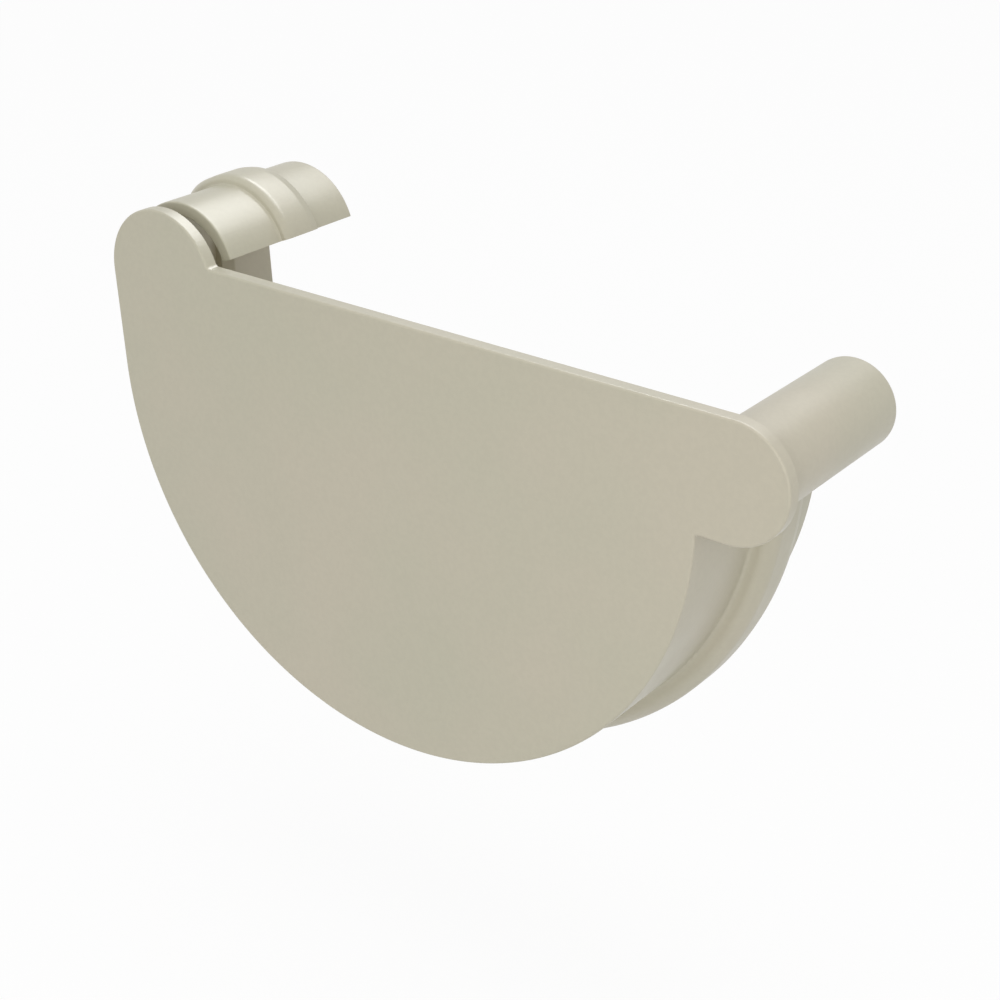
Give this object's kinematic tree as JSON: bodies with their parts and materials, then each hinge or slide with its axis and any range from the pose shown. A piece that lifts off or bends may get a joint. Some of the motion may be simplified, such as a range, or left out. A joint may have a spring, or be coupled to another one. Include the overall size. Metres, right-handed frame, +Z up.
{
  "type": "gutter end cap",
  "caption": "Half-round gutter end cap: a flat end plate with a socket wall, a bulged seal channel, a hook for the gutter's rear edge and a round spigot for its front bead.",
  "frame": {"origin": "on the gutter's axis, at the back face of the end plate, where the gutter's end stops", "axes": "+X across the gutter towards its front bead, +Y into the gutter, +Z up"},
  "size_m": [0.145, 0.0379, 0.0967],
  "materials": {
    "cap": "satin moulded"
  },
  "bodies": {
    "root": {"end_cap": "cap"}
  },
  "joints": []
}
